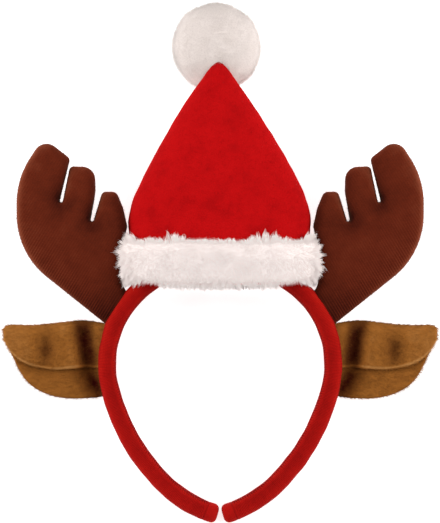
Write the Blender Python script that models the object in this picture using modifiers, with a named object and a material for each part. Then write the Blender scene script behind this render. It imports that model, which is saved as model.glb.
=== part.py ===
"""Reindeer antler headband with a small felt hat, lying on its back.

Lengths are metres. Every piece is modelled in the headband's own frame: X runs from
left to right, Y from the band's tips towards the pompom and Z towards the viewer.
Its origin is in the middle of the head opening, at the opening's widest line.
The empty called rest_pose then lays the whole headband on the ground at Z = 0,
where it rests on the band's tips, the back of the fur trim and the pompom.
"""

import math
import random

import bmesh
import bpy
import numpy as np
from mathutils import Vector
from mathutils.geometry import delaunay_2d_cdt

# Gap between two pieces that touch
CLEARANCE = 0.0003

# Padded band: span of its middle line at the widest, and its section
BAND_SPAN = 0.1247
BAND_THICKNESS = 0.0105
BAND_DEPTH = 0.014
BAND_CORNER = 0.0038
BAND_STEP = 0.0075

# Stuffed felt hat, from its hem to its tip
HAT_HEIGHT = 0.1215
HAT_WIDTH = 0.1006
HAT_DEPTH = 0.040
HAT_SEAT = 0.0132
HAT_SIDE_LEAN = -0.0009
HAT_SIDES = 36

# Fur trim round the hem: its backing and the locks that grow from it
TRIM_HEIGHT = 0.0235
TRIM_BACKING = 0.0058
TRIM_LOCK = 0.0050
TRIM_PRESSED = 0.0005
LOCK_LEAN_SHARE = 0.30
LOCK_SHORTEST_SHARE = 0.80
LOCK_WAIST_WIDTH_SHARE = 0.60
LOCK_WAIST_HEIGHT_SHARE = 0.45

# Pompom, and how far its middle is above and behind the hat's tip, as shares of its radius
POMPOM_RADIUS = 0.0245
POMPOM_LOCK = 0.0022
POMPOM_SIDE = -0.0019
POMPOM_PRESSED = 0.0028
POMPOM_ABOVE_TIP_SHARE = 0.425
POMPOM_BEHIND_TIP_SHARE = 0.775

# Stuffed antlers
ANTLER_HEIGHT = 0.0985
ANTLER_WIDTH = 0.0619
ANTLER_DEPTH = 0.0170
ANTLER_SEAM = 0.0100
ANTLER_BELOW_TOP = 0.0344
ANTLER_STEP = 0.0055

# Folded plush ears
EAR_LENGTH = 0.0565
EAR_HEIGHT = 0.0427
EAR_THICKNESS = 0.0026
EAR_FOLD = 0.0090
EAR_ABOVE_ANTLER = 0.0012
EAR_POINTS = 15

# Middle line of one half of the band, from the top of the head to the tip.
# Columns: radius as a share of half the span, turn in degrees.
BAND_ARCS = (
    (1.085, 37.0),
    (0.872, 68.0),
    (1.843, 28.3),
    (1.140, 30.3),
)

# Hat sections from the hem up.
# Columns: height, width and depth as shares of the hat's own.
HAT_SECTIONS = (
    (0.000, 0.970, 0.980),
    (0.120, 0.985, 1.000),
    (0.240, 0.995, 1.000),
    (0.290, 1.000, 0.980),
    (0.345, 0.975, 0.950),
    (0.400, 0.930, 0.910),
    (0.460, 0.862, 0.860),
    (0.570, 0.720, 0.740),
    (0.680, 0.565, 0.620),
    (0.785, 0.412, 0.490),
    (0.870, 0.275, 0.370),
    (0.925, 0.180, 0.290),
    (0.965, 0.115, 0.210),
    (0.990, 0.060, 0.120),
    (1.000, 0.020, 0.040),
)

# Trim section from its lower inner corner round the outside.
# Columns: height as a share of the trim's, distance from the hat as a share of its
# backing, and length of the locks on the strip that starts there as a share of TRIM_LOCK.
TRIM_SECTION = (
    (-0.50, 0.00, 0.50),
    (-0.50, 0.60, 0.75),
    (-0.30, 0.92, 1.00),
    (-0.10, 1.00, 1.00),
    (0.10, 1.00, 1.00),
    (0.30, 0.92, 0.90),
    (0.50, 0.60, 0.60),
    (0.50, 0.00, 0.00),
    (0.00, 0.00, 0.00),
)

# Corners of the antler's panel, from the heel round the tines and back.
# Columns: place, distance from the inner side and height as shares of the antler's
# width and height, rounding as a share of its width.
ANTLER_CORNERS = (
    ("heel in the band", 0.156, -0.027, 0.020),
    ("lower outer bend", 0.988, 0.391, 0.710),
    ("upper outer bend", 0.988, 0.805, 0.740),
    ("outer tine tip", 0.751, 1.034, 0.120),
    ("outer tine shoulder", 0.507, 0.916, 0.045),
    ("first slit outer side", 0.604, 0.662, 0.013),
    ("first slit inner side", 0.573, 0.662, 0.013),
    ("middle tine outer corner", 0.508, 0.874, 0.040),
    ("middle tine inner corner", 0.293, 0.869, 0.115),
    ("middle tine inner bend", 0.287, 0.729, 0.300),
    ("second slit outer side", 0.335, 0.554, 0.011),
    ("second slit inner side", 0.308, 0.554, 0.011),
    ("inner tine outer corner", 0.228, 0.732, 0.045),
    ("inner tine inner corner", 0.102, 0.732, 0.060),
    ("inner tine bend", 0.042, 0.640, 0.250),
    ("shoulder above the trim", 0.006, 0.539, 0.060),
    ("waist beside the hat", 0.053, 0.405, 0.120),
    ("waist above the band", 0.049, 0.215, 0.100),
    ("inner corner in the band", -0.049, 0.104, 0.020),
)

# Fullness of the antler's stuffing.
# Columns: height as a share of the antler's, depth as a share of ANTLER_DEPTH.
ANTLER_FULLNESS = (
    (0.00, 0.62),
    (0.30, 0.86),
    (0.55, 1.00),
    (1.00, 0.80),
)

# Ear sections from the band to the tip.
# Columns: distance as a share of the ear's length, then the heights of the fold, of
# the front flap's free edge and of the back flap's as shares of the ear's height.
EAR_SECTIONS = (
    (0.000, 0.930, 0.386, 0.080),
    (0.116, 0.970, 0.386, 0.040),
    (0.232, 1.000, 0.386, 0.007),
    (0.376, 0.990, 0.380, 0.000),
    (0.520, 0.966, 0.375, 0.030),
    (0.655, 0.950, 0.400, 0.100),
    (0.760, 0.945, 0.440, 0.200),
    (0.850, 0.948, 0.508, 0.360),
    (0.925, 0.948, 0.610, 0.580),
    (0.973, 0.930, 0.730, 0.720),
    (1.000, 0.880, 0.790, 0.785),
)

# Pinches in the ear's front flap.
# Columns: distance and height of the middle, spread along and up as shares of the
# ear's length and height, depth as a share of the fold.
EAR_PINCHES = (
    (0.210, 0.640, 0.070, 0.300, 0.34),
    (0.555, 0.640, 0.075, 0.140, 0.16),
)

# Rows of points beside a stuffed panel's seam, as shares of the spacing of its points
SEAM_ROWS = (0.22, 0.75)

COLLECTION = "reindeer_antler_headband"
CUTTERS = "cutters"
SEED = 11


def clear_scene():
    """Removes what the start-up scene holds."""
    for item in list(bpy.data.objects):
        bpy.data.objects.remove(item, do_unlink=True)


def make_collection(name):
    """A new collection in the scene."""
    collection = bpy.data.collections.new(name)
    bpy.context.scene.collection.children.link(collection)
    return collection


def make_material(name, colour, roughness):
    """A plain fabric finish."""
    material = bpy.data.materials.new(name)
    material.use_nodes = True
    shader = material.node_tree.nodes["Principled BSDF"]
    shader.inputs["Base Color"].default_value = (*colour, 1.0)
    shader.inputs["Roughness"].default_value = roughness
    shader.inputs["Metallic"].default_value = 0.0
    return material


def add_piece(name, mesh_data, parent, material=None):
    """An object from a bmesh; without a material it is a cutter."""
    bmesh.ops.recalc_face_normals(mesh_data, faces=mesh_data.faces)
    mesh = bpy.data.meshes.new(name)
    mesh_data.to_mesh(mesh)
    mesh_data.free()
    piece = bpy.data.objects.new(name, mesh)
    piece.parent = parent
    if material is None:
        bpy.data.collections[CUTTERS].objects.link(piece)
        piece.hide_render = True
        piece.display_type = "WIRE"
    else:
        mesh.materials.append(material)
        mesh.shade_smooth()
        bpy.data.collections[COLLECTION].objects.link(piece)
    return piece


def cut(piece, cutter):
    """Takes the cutter's shape out of the piece."""
    modifier = piece.modifiers.new("cut_by_" + cutter.name, "BOOLEAN")
    modifier.operation = "DIFFERENCE"
    modifier.object = cutter


def loft(rings):
    """A closed body through rings of equal length, with flat ends."""
    body = bmesh.new()
    rows = [[body.verts.new(point) for point in ring] for ring in rings]
    count = len(rings[0])
    for lower, upper in zip(rows, rows[1:]):
        for i in range(count):
            j = (i + 1) % count
            body.faces.new((lower[i], lower[j], upper[j], upper[i]))
    body.faces.new(reversed(rows[0]))
    body.faces.new(rows[-1])
    return body


def prism(outline, half_depth):
    """The outline, extruded the same way to front and back."""
    return loft([[Vector((x, y, z)) for x, y in outline] for z in (-half_depth, half_depth)])


def interpolate(rows, position):
    """The other columns of a table of shares, read at a position in its first column."""
    table = np.array(rows)
    return [float(np.interp(position, table[:, 0], column)) for column in table[:, 1:].T]


def rounded_outline(corners, step):
    """A closed outline through (x, y, radius) corners, with points about a step apart."""
    points = []
    count = len(corners)
    for i, (x, y, radius) in enumerate(corners):
        corner = Vector((x, y))
        before = (Vector(corners[i - 1][:2]) - corner).normalized()
        after = (Vector(corners[(i + 1) % count][:2]) - corner).normalized()
        half_angle = before.angle(after) / 2
        reach = radius / math.tan(half_angle)
        centre = corner + (before + after).normalized() * radius / math.sin(half_angle)
        start = corner + before * reach - centre
        end = corner + after * reach - centre
        turn = start.angle_signed(end)
        pieces = max(2, math.ceil(abs(turn) * radius / step))
        first = math.atan2(start.y, start.x)
        for k in range(pieces + 1):
            angle = first - turn * k / pieces
            points.append(centre + radius * Vector((math.cos(angle), math.sin(angle))))
    return split_long_edges(points, step)


def split_long_edges(points, step):
    """The same closed outline with extra points on its long straight runs."""
    result = []
    for start, end in zip(points, points[1:] + points[:1]):
        pieces = max(1, round((end - start).length / step))
        result += [start.lerp(end, k / pieces) for k in range(pieces)]
    return result


def edge_distances(points, outline):
    """Distance of each point from a closed outline, and whether it lies inside."""
    start = np.array([tuple(p) for p in outline])
    along = np.roll(start, -1, axis=0) - start
    point = np.array([tuple(p) for p in points])[:, None, :]
    share = ((point - start) * along).sum(2) / (along**2).sum(1)
    nearest = start + np.clip(share, 0, 1)[..., None] * along
    distance = np.sqrt(((point - nearest) ** 2).sum(2)).min(1)
    crosses = (start[:, 1] > point[..., 1]) != (start[:, 1] + along[:, 1] > point[..., 1])
    rise = np.where(along[:, 1] == 0, 1.0, along[:, 1])
    side = start[:, 0] + (point[..., 1] - start[:, 1]) / rise * along[:, 0]
    inside = (crosses & (point[..., 0] < side)).sum(1) % 2 == 1
    return distance, inside


def panel_points(outline, step):
    """Points inside a stuffed panel: rows beside its seam and a grid of triangles."""
    kept = []
    for share in SEAM_ROWS:
        inset = share * step
        row = []
        for before, here, after in zip(outline[-1:] + outline, outline, outline[1:] + outline[:1]):
            side = (after - before).normalized().orthogonal()
            row += [here + inset * side, here - inset * side]
        kept += points_inside(row, outline, 0.93 * inset)
    low = Vector((min(p.x for p in outline), min(p.y for p in outline)))
    high = Vector((max(p.x for p in outline), max(p.y for p in outline)))
    grid = []
    row_height = step * math.sqrt(0.75)
    for row_number in range(int((high.y - low.y) / row_height) + 1):
        offset = step / 2 * (row_number % 2)
        for column in range(int((high.x - low.x) / step) + 1):
            grid.append(low + Vector((offset + column * step, row_number * row_height)))
    kept += points_inside(grid, outline, 1.2 * step)
    return spread_out(kept, 0.3 * step)


def points_inside(points, outline, margin):
    """The points that lie inside a closed outline, at least the margin from it."""
    distances, inside = edge_distances(points, outline)
    return [point for i, point in enumerate(points) if inside[i] and distances[i] > margin]


def spread_out(points, gap):
    """Leaves out points that lie nearer than the gap to one already kept."""
    kept = []
    for point in points:
        if all((point - other).length > gap for other in kept):
            kept.append(point)
    return kept


def stuffed_panel(outline, step, half_depth):
    """Two equal panels sewn along the outline and stuffed to half_depth(height, edge)."""
    inner = panel_points(outline, step)
    border = range(len(outline))
    points, _, faces, *_ = delaunay_2d_cdt(outline + inner, [], [list(border)], 1, 1e-7)
    distance, _ = edge_distances(points, outline)
    body = bmesh.new()
    front = []
    back = []
    for point, edge in zip(points, distance):
        height = half_depth(point.y, edge) if edge > 1e-5 else 0.0
        front.append(body.verts.new((point.x, point.y, height)))
        back.append(body.verts.new((point.x, point.y, -height)) if height else front[-1])
    for face in faces:
        if any(front[i] is not back[i] for i in face):
            body.faces.new([front[i] for i in face])
            body.faces.new([back[i] for i in reversed(face)])
    loose = [vert for vert in body.verts if not vert.link_faces]
    bmesh.ops.delete(body, geom=loose, context="VERTS")
    return body


def grow_locks(body, faces, length, chance):
    """Draws each face out into one tapered lock, leaning a little its own way."""
    for face in bmesh.ops.extrude_discrete_faces(body, faces=faces)["faces"]:
        centre = face.calc_center_median()
        lean = LOCK_LEAN_SHARE * Vector([chance.uniform(-1, 1) for _ in range(3)])
        reach = (face.normal + lean).normalized() * length * chance.uniform(LOCK_SHORTEST_SHARE, 1.0)
        for vert in face.verts:
            across = LOCK_WAIST_WIDTH_SHARE * (vert.co - centre)
            vert.co = centre + across + LOCK_WAIST_HEIGHT_SHARE * reach
        draw_to_point(body, face, centre + reach)


def draw_to_point(body, face, tip):
    """Turns a face into a pyramid with its tip at a point."""
    middle = bmesh.ops.poke(body, faces=[face])["verts"][0]
    middle.co = tip


def band_point(distance):
    """Point and heading of the band's middle line, a distance from its top to the right."""
    half_span = BAND_SPAN / 2
    (first, first_turn), (second, _) = BAND_ARCS[:2]
    first_turn = math.radians(first_turn)
    top = first * (1 - math.cos(first_turn)) + second * math.cos(first_turn)
    place = Vector((0.0, top * half_span))
    heading = 0.0
    for share, degrees in BAND_ARCS:
        radius = share * half_span
        turn = min(math.radians(degrees), distance / radius)
        centre = place - radius * Vector((math.sin(heading), math.cos(heading)))
        heading += turn
        place = centre + radius * Vector((math.sin(heading), math.cos(heading)))
        distance -= turn * radius
    return place, heading


def band_length():
    """Length of half the band's middle line."""
    return sum(share * math.radians(turn) for share, turn in BAND_ARCS) * BAND_SPAN / 2


def band_corner():
    """Rounding of the band's section, no more than its thickness allows."""
    return min(BAND_CORNER, 0.42 * BAND_THICKNESS, 0.42 * BAND_DEPTH)


def band_distances():
    """Where the band has its sections, from the left tip over the top to the right tip."""
    length = band_length()
    count = round(length / BAND_STEP)
    half = [length * (i + 0.5) / count for i in range(count)]
    half += [length - band_corner() * share for share in (0.5, 0.15, 0.0)]
    half.sort()
    return [-distance for distance in reversed(half)] + half


def band_frame(distance):
    """Middle and outward direction of the band at a signed distance from its top."""
    place, heading = band_point(abs(distance))
    side = 1 if distance > 0 else -1
    outward = Vector((side * math.sin(heading), math.cos(heading)))
    return Vector((side * place.x, place.y)), outward


def band_section(inset):
    """Rounded rectangle of the band as (outward, forward) pairs."""
    half_thickness = BAND_THICKNESS / 2 - inset
    half_depth = BAND_DEPTH / 2 - inset
    radius = max(band_corner() - inset, band_corner() / 4)
    pairs = []
    for quarter in range(4):
        outward = (half_thickness - radius) * (1 if quarter in (0, 3) else -1)
        forward = (half_depth - radius) * (1 if quarter < 2 else -1)
        for k in range(3):
            angle = math.radians(90 * quarter + 45 * k)
            pairs.append((outward + radius * math.cos(angle), forward + radius * math.sin(angle)))
    return pairs


def build_band(parent, material):
    """The padded hoop that sits on the head."""
    corner = band_corner()
    rings = []
    for distance in band_distances():
        middle, outward = band_frame(distance)
        past_round = max(corner - (band_length() - abs(distance)), 0.0)
        inset = corner - math.sqrt(corner**2 - past_round**2)
        ring = []
        for across, forward in band_section(0.75 * inset):
            ring.append((middle + across * outward).to_3d() + Vector((0, 0, forward)))
        rings.append(ring)
    return add_piece("headband", loft(rings), parent, material)


def head_outline():
    """Outer line of the band with the clearance added, closed between its tips."""
    outline = []
    for distance in band_distances():
        middle, outward = band_frame(distance)
        outline.append(middle + (BAND_THICKNESS / 2 + CLEARANCE) * outward)
    return outline


def hem_level():
    """Height of the hat's hem; the hem hangs past the band's top on both faces."""
    top, _ = band_point(0.0)
    return top.y - HAT_SEAT


def hat_angles():
    """Angles that space HAT_SIDES points evenly round the hat's oval."""
    angle = np.linspace(0, 2 * math.pi, 721)
    x = HAT_WIDTH * np.cos(angle)
    z = HAT_DEPTH * np.sin(angle)
    run = np.concatenate(([0], np.cumsum(np.hypot(np.diff(x), np.diff(z)))))
    return np.interp(np.arange(HAT_SIDES) * run[-1] / HAT_SIDES, run, angle)


def hat_ring(share, grow=0.0):
    """One level of the hat, as points and as outward directions."""
    width, depth = interpolate(HAT_SECTIONS, share)
    half_width = width * HAT_WIDTH / 2 + grow
    half_depth = depth * HAT_DEPTH / 2 + grow
    level = hem_level() + share * HAT_HEIGHT
    middle = Vector((HAT_SIDE_LEAN * share**2, level, hat_tip_forward() * share**2))
    points = []
    outwards = []
    for angle in hat_angles():
        across = Vector((math.cos(angle), 0, math.sin(angle)))
        points.append(middle + Vector((half_width * across.x, 0, half_depth * across.z)))
        outwards.append(Vector((across.x / half_width, 0, across.z / half_depth)).normalized())
    return points, outwards


def hat_tip_forward():
    """How far forward the hat's tip stands, so that it enters the pompom's front."""
    return pompom_centre().z + POMPOM_BEHIND_TIP_SHARE * POMPOM_RADIUS


def build_hat(parent, material):
    """The stuffed hat, which straddles the band."""
    rings = [hat_ring(row[0])[0] for row in HAT_SECTIONS]
    return add_piece("hat", loft(rings), parent, material)


def build_hat_cutter(parent):
    """The hat with the clearance added all round."""
    rings = [hat_ring(row[0], CLEARANCE)[0] for row in HAT_SECTIONS]
    rings.append([point + Vector((0, CLEARANCE, 0)) for point in rings[-1]])
    return add_piece("hat_cutter", loft(rings), parent)


def trim_middle():
    """Height of the middle of the fur trim."""
    return hem_level() + TRIM_HEIGHT / 2


def build_trim(parent, material, chance):
    """The fur roll round the hem: a backing with locks drawn out of it."""
    body = bmesh.new()
    rows = []
    for up, out, _ in TRIM_SECTION:
        level = trim_middle() + up * TRIM_HEIGHT
        points, outwards = hat_ring((level - hem_level()) / HAT_HEIGHT, CLEARANCE)
        places = [point + out * TRIM_BACKING * outward for point, outward in zip(points, outwards)]
        rows.append([body.verts.new(place) for place in places])
    strips = []
    for lower, upper in zip(rows, rows[1:] + rows[:1]):
        corners = zip(lower, upper, upper[1:] + upper[:1], lower[1:] + lower[:1])
        strips.append([body.faces.new(four) for four in corners])
    bmesh.ops.recalc_face_normals(body, faces=body.faces)
    for strip, (_, _, share) in zip(strips, TRIM_SECTION):
        if share > 0:
            grow_locks(body, strip, share * TRIM_LOCK, chance)
    return add_piece("fur_trim", body, parent, material)


def tip_level():
    """Height at which the band's tips touch the ground: the edge of their flat back."""
    middle, outward = band_frame(band_length() - band_corner())
    return middle.y + (BAND_THICKNESS / 2 - band_corner()) * outward.y


def ground_slope():
    """Angle between the headband's plane and the ground."""
    trim_back = HAT_DEPTH / 2 + CLEARANCE + TRIM_BACKING - TRIM_PRESSED
    return math.atan2(trim_back - BAND_DEPTH / 2, trim_middle() - tip_level())


def ground_depth(level):
    """How far behind the headband's plane the ground lies at a height of that plane."""
    return BAND_DEPTH / 2 + (level - tip_level()) * math.tan(ground_slope())


def pompom_centre():
    """Middle of the pompom, which leans back until it lies on the ground."""
    level = hem_level() + HAT_HEIGHT + POMPOM_ABOVE_TIP_SHARE * POMPOM_RADIUS
    above_ground = (POMPOM_RADIUS - POMPOM_PRESSED) / math.cos(ground_slope())
    return Vector((POMPOM_SIDE, level, above_ground - ground_depth(level)))


def build_ground_cutter(parent):
    """A block whose top is the ground, wide enough for the whole headband."""
    size = 4 * (HAT_HEIGHT + BAND_SPAN)
    body = bmesh.new()
    bmesh.ops.create_cube(body, size=size)
    cutter = add_piece("ground_cutter", body, parent)
    cutter.rotation_euler.x = -ground_slope()
    on_ground = Vector((0, tip_level(), -BAND_DEPTH / 2))
    down = Vector((0, -math.sin(ground_slope()), -math.cos(ground_slope())))
    cutter.location = on_ground + down * size / 2
    return cutter


def build_pompom(parent, material, chance):
    """A round core with a lock drawn out of each of its faces."""
    core = POMPOM_RADIUS - POMPOM_LOCK
    body = bmesh.new()
    bmesh.ops.create_icosphere(body, subdivisions=3, radius=core)
    for face in list(body.faces):
        reach = core + POMPOM_LOCK * chance.uniform(LOCK_SHORTEST_SHARE, 1.0)
        draw_to_point(body, face, reach * face.calc_center_median().normalized())
    pompom = add_piece("pompom", body, parent, material)
    pompom.location = pompom_centre()
    return pompom


def antler_foot():
    """Height of the antlers' lowest point, beside the band."""
    top, _ = band_point(0.0)
    return top.y - ANTLER_BELOW_TOP


def antler_outline(side, grow=0.0):
    """Outline of one antler's panel; side is 1 on the right and -1 on the left."""
    inner = HAT_WIDTH / 2 + CLEARANCE
    corners = []
    for _, across, up, rounding in ANTLER_CORNERS:
        x = inner + across * ANTLER_WIDTH
        y = antler_foot() + up * ANTLER_HEIGHT
        corners.append((x, y, rounding * ANTLER_WIDTH))
    outline = rounded_outline(corners, ANTLER_STEP)
    grown = []
    for before, here, after in zip(outline[-1:] + outline, outline, outline[1:] + outline[:1]):
        ahead = (after - before).normalized()
        grown.append(here + grow * Vector((ahead.y, -ahead.x)))
    return [Vector((side * point.x, point.y)) for point in grown]


def antler_half_depth(grow):
    """Rule for the antler's stuffing: round at the seam and slimmer at the foot."""
    def rule(y, edge):
        (fullness,) = interpolate(ANTLER_FULLNESS, (y - antler_foot()) / ANTLER_HEIGHT)
        inward = 1 - min(edge / ANTLER_SEAM, 1.0)
        return fullness * ANTLER_DEPTH / 2 * math.sqrt(1 - inward**2) + grow
    return rule


def build_antler(name, side, parent, material=None, grow=0.0):
    """One stuffed antler, or with grow its cutter."""
    body = stuffed_panel(antler_outline(side, grow), ANTLER_STEP, antler_half_depth(grow))
    return add_piece(name, body, parent, material)


def ear_foot():
    """Height of the ears' lowest point; their folds stand just above the antlers' foot."""
    return antler_foot() + EAR_ABOVE_ANTLER - EAR_HEIGHT


def ear_section(row):
    """One section of the ear's middle surface, from the back edge over the fold to the front edge."""
    along, fold, front, back = row
    radius = EAR_FOLD / 2 * (0.45 + 0.55 * math.sqrt(1 - along**3))
    bend = ear_foot() + fold * EAR_HEIGHT - EAR_THICKNESS / 2 - radius
    back_edge = min(ear_foot() + back * EAR_HEIGHT, bend)
    front_edge = min(ear_foot() + front * EAR_HEIGHT, bend)
    section = []
    for k in range(EAR_POINTS):
        share = k / (EAR_POINTS - 1)
        angle = math.pi * min(max(share - 0.4, 0.0) / 0.2, 1.0)
        down_back = (bend - back_edge) * max(1 - share / 0.4, 0.0)
        down_front = (bend - front_edge) * max((share - 0.6) / 0.4, 0.0)
        y = bend + radius * math.sin(angle) - down_back - down_front
        z = -radius * math.cos(angle)
        if down_front > 0:
            z -= pinch_depth(along, (y - ear_foot()) / EAR_HEIGHT)
        section.append((BAND_SPAN / 2 + along * EAR_LENGTH, y, z))
    return section


def pinch_depth(along, up):
    """How deep the front flap is pinched in at a place."""
    depth = 0.0
    for middle_along, middle_up, spread_along, spread_up, share in EAR_PINCHES:
        away = ((along - middle_along) / spread_along) ** 2 + ((up - middle_up) / spread_up) ** 2
        depth += share * EAR_FOLD * math.exp(-away)
    return depth


def build_ear(name, side, parent, material):
    """One ear: a plush leaf folded along its top, its front flap shorter than its back."""
    body = bmesh.new()
    grid = []
    for row in EAR_SECTIONS:
        grid.append([body.verts.new((side * x, y, z)) for x, y, z in ear_section(row)])
    for near, far in zip(grid, grid[1:]):
        for four in zip(near, near[1:], far[1:], far):
            body.faces.new(four)
    ear = add_piece(name, body, parent, material)
    shell = ear.modifiers.new("thickness", "SOLIDIFY")
    shell.thickness = EAR_THICKNESS
    shell.offset = 0.0
    return ear


def lay_down(rest_pose):
    """Turns the headband onto its back and puts it on the ground, in the middle."""
    rest_pose.rotation_euler.x = ground_slope()
    bpy.context.view_layer.update()
    graph = bpy.context.evaluated_depsgraph_get()
    corners = []
    for piece in bpy.data.collections[COLLECTION].objects:
        evaluated = piece.evaluated_get(graph)
        corners += [evaluated.matrix_world @ vert.co for vert in evaluated.data.vertices]
    low_x, high_x = min(p.x for p in corners), max(p.x for p in corners)
    low_y, high_y = min(p.y for p in corners), max(p.y for p in corners)
    lowest = min(p.z for p in corners)
    rest_pose.location = (-(low_x + high_x) / 2, -(low_y + high_y) / 2, -lowest)


def main():
    clear_scene()
    make_collection(COLLECTION)
    make_collection(CUTTERS)
    chance = random.Random(SEED)
    rest_pose = bpy.data.objects.new("rest_pose", None)
    bpy.context.scene.collection.objects.link(rest_pose)

    red_cover = make_material("red_ribbed_cover", (0.38, 0.008, 0.008), 0.75)
    red_felt = make_material("red_felt", (0.52, 0.009, 0.010), 0.95)
    white_fur = make_material("white_fur", (0.86, 0.79, 0.76), 0.95)
    white_plush = make_material("white_plush", (0.84, 0.78, 0.75), 0.95)
    brown_knit = make_material("brown_knit", (0.13, 0.025, 0.012), 0.95)
    tan_plush = make_material("tan_plush", (0.27, 0.10, 0.025), 0.95)

    build_band(rest_pose, red_cover)
    hat = build_hat(rest_pose, red_felt)
    trim = build_trim(rest_pose, white_fur, chance)
    pompom = build_pompom(rest_pose, white_plush, chance)

    outline = head_outline()
    band_channel = add_piece("band_channel", prism(outline, BAND_DEPTH / 2 + CLEARANCE), rest_pose)
    head_space = add_piece("head_space", prism(outline, 2 * BAND_DEPTH), rest_pose)
    ground = build_ground_cutter(rest_pose)
    hat_cutter = build_hat_cutter(rest_pose)

    cut(hat, band_channel)
    cut(pompom, hat_cutter)
    cut(pompom, ground)
    cut(trim, band_channel)
    for name, side in (("left", -1), ("right", 1)):
        antler = build_antler("antler_" + name, side, rest_pose, brown_knit)
        cut(antler, head_space)
        pocket = build_antler("antler_pocket_" + name, side, rest_pose, grow=CLEARANCE)
        cut(trim, pocket)
        ear = build_ear("ear_" + name, side, rest_pose, tan_plush)
        cut(ear, head_space)
    cut(trim, ground)
    lay_down(rest_pose)


main()
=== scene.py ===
"""Looks of the reindeer antler headband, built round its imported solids.

Lengths are metres. Pieces are made in the headband's own frame: X runs from left to
right, Y from the band's tips towards the pompom and Z towards the viewer, and the
origin is in the middle of the head opening. on_ground() lays them on the ground.
"""

import math

import bmesh
import bpy
import numpy as np
from mathutils import Matrix, Vector
from mathutils.geometry import delaunay_2d_cdt


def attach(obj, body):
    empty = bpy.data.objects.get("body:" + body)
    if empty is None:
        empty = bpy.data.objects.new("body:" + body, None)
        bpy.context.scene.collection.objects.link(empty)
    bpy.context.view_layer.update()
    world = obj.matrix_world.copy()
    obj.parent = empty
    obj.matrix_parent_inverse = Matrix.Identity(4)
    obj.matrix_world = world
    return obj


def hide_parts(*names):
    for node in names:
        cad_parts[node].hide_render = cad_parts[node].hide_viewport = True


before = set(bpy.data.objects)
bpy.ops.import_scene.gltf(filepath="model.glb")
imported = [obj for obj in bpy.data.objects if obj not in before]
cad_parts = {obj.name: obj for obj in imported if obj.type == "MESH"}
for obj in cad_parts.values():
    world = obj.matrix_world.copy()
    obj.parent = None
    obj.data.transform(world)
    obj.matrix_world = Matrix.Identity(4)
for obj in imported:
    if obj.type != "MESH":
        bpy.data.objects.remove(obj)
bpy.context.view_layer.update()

# How the headband lies: its slope, and where its origin is
SLOPE = math.radians(7.65597)
PLACE = (0.0, -0.057292, 0.017967)
FLOOR_GAP = 0.0002

# Padded band: its width at the middle line, its section, and how it rounds off at a tip
BAND_SPAN = 0.1247
BAND_THICKNESS = 0.0105
BAND_DEPTH = 0.014
BAND_SQUARENESS = 3.0
BAND_END = 0.0030
BAND_SIDES = 24
# Columns: an arc's radius as a share of half the span, and its turn in degrees, from the top.
BAND_ARCS = ((1.085, 37.0), (0.872, 68.0), (1.843, 28.3), (1.140, 30.3))
# Beside the ears, this far from the top along the band, its outer side is this much slimmer
BAND_AT_EARS = 0.095
BAND_SLIMMER = 0.0007
# Ribs of the cover, which end this far before a tip, and stitches of the seam inside
RIB_SPACING = 0.00080
RIB_HEIGHT = 0.00011
RIB_END = 0.0068
STITCH_SPACING = 0.00145
STITCH_LENGTH = 0.0007
STITCH_RADIUS = 0.00017

# Hat, from its hem's height up
HAT_HEM = 0.04384
HAT_HEIGHT = 0.1224
HAT_WIDTH = 0.1006
HAT_DEPTH = 0.040
HAT_SIDE_LEAN = -0.0009
HAT_TIP_FORWARD = -0.0009
HAT_SIDES = 128
HAT_LEVELS = 120
HAT_HAIRS = 9000
HAT_HAIR = 0.0013
# Columns: height, width and depth as shares of the hat's own.
HAT_SECTIONS = (
    (0.000, 0.970, 0.980),
    (0.120, 0.985, 1.000),
    (0.240, 0.995, 1.000),
    (0.290, 1.000, 0.980),
    (0.345, 0.975, 0.950),
    (0.400, 0.930, 0.910),
    (0.460, 0.862, 0.860),
    (0.570, 0.720, 0.740),
    (0.680, 0.565, 0.620),
    (0.785, 0.412, 0.490),
    (0.870, 0.275, 0.370),
    (0.925, 0.180, 0.290),
    (0.965, 0.108, 0.200),
    (0.990, 0.045, 0.090),
    (1.000, 0.006, 0.012),
)

# Fur trim: its height, its backing's thickness, and how far its lower edge rises at both ends
TRIM_HEIGHT = 0.0235
TRIM_BACKING = 0.0060
TRIM_ENDS_RISE = 0.0031
TRIM_SIDES = 180
TRIM_COLUMNS = 28
# On each side, short hairs all over and tufts of longer strands at the edges
TRIM_HAIRS = 16000
TRIM_SHORT = 0.0032
TRIM_TUFTS = 620
TRIM_LONG = 0.0070
STRANDS_PER_TUFT = 13
# The gap in the lower edge where the band comes out, left and right of the middle
BAND_GAP_X = 0.0385
BAND_GAP_WIDTH = 0.012
BAND_GAP_Y = 0.0455
# Where the top edge is short and even
EVEN_EDGE_X = -0.0395
EVEN_EDGE_WIDTH = 0.0085

# Pompom
POMPOM_CENTRE = (-0.0023, 0.17550, -0.01986)
POMPOM_CORE = 0.0233
POMPOM_HAIRS = 34000
POMPOM_HAIR = 0.0030

# Antlers: inner side, foot, width, height, and depth of the stuffing
ANTLER_INNER = 0.0506
ANTLER_FOOT = 0.02264
ANTLER_WIDTH = 0.0619
ANTLER_HEIGHT = 0.0985
ANTLER_DEPTH = 0.0170
ANTLER_STEP = 0.0008
ANTLER_HAIRS = 6000
ANTLER_HAIR = 0.0014
KNIT_SPACING = 0.0014
KNIT_HEIGHT = 0.00020
KNIT_DIRECTION = math.radians(122)
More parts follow.
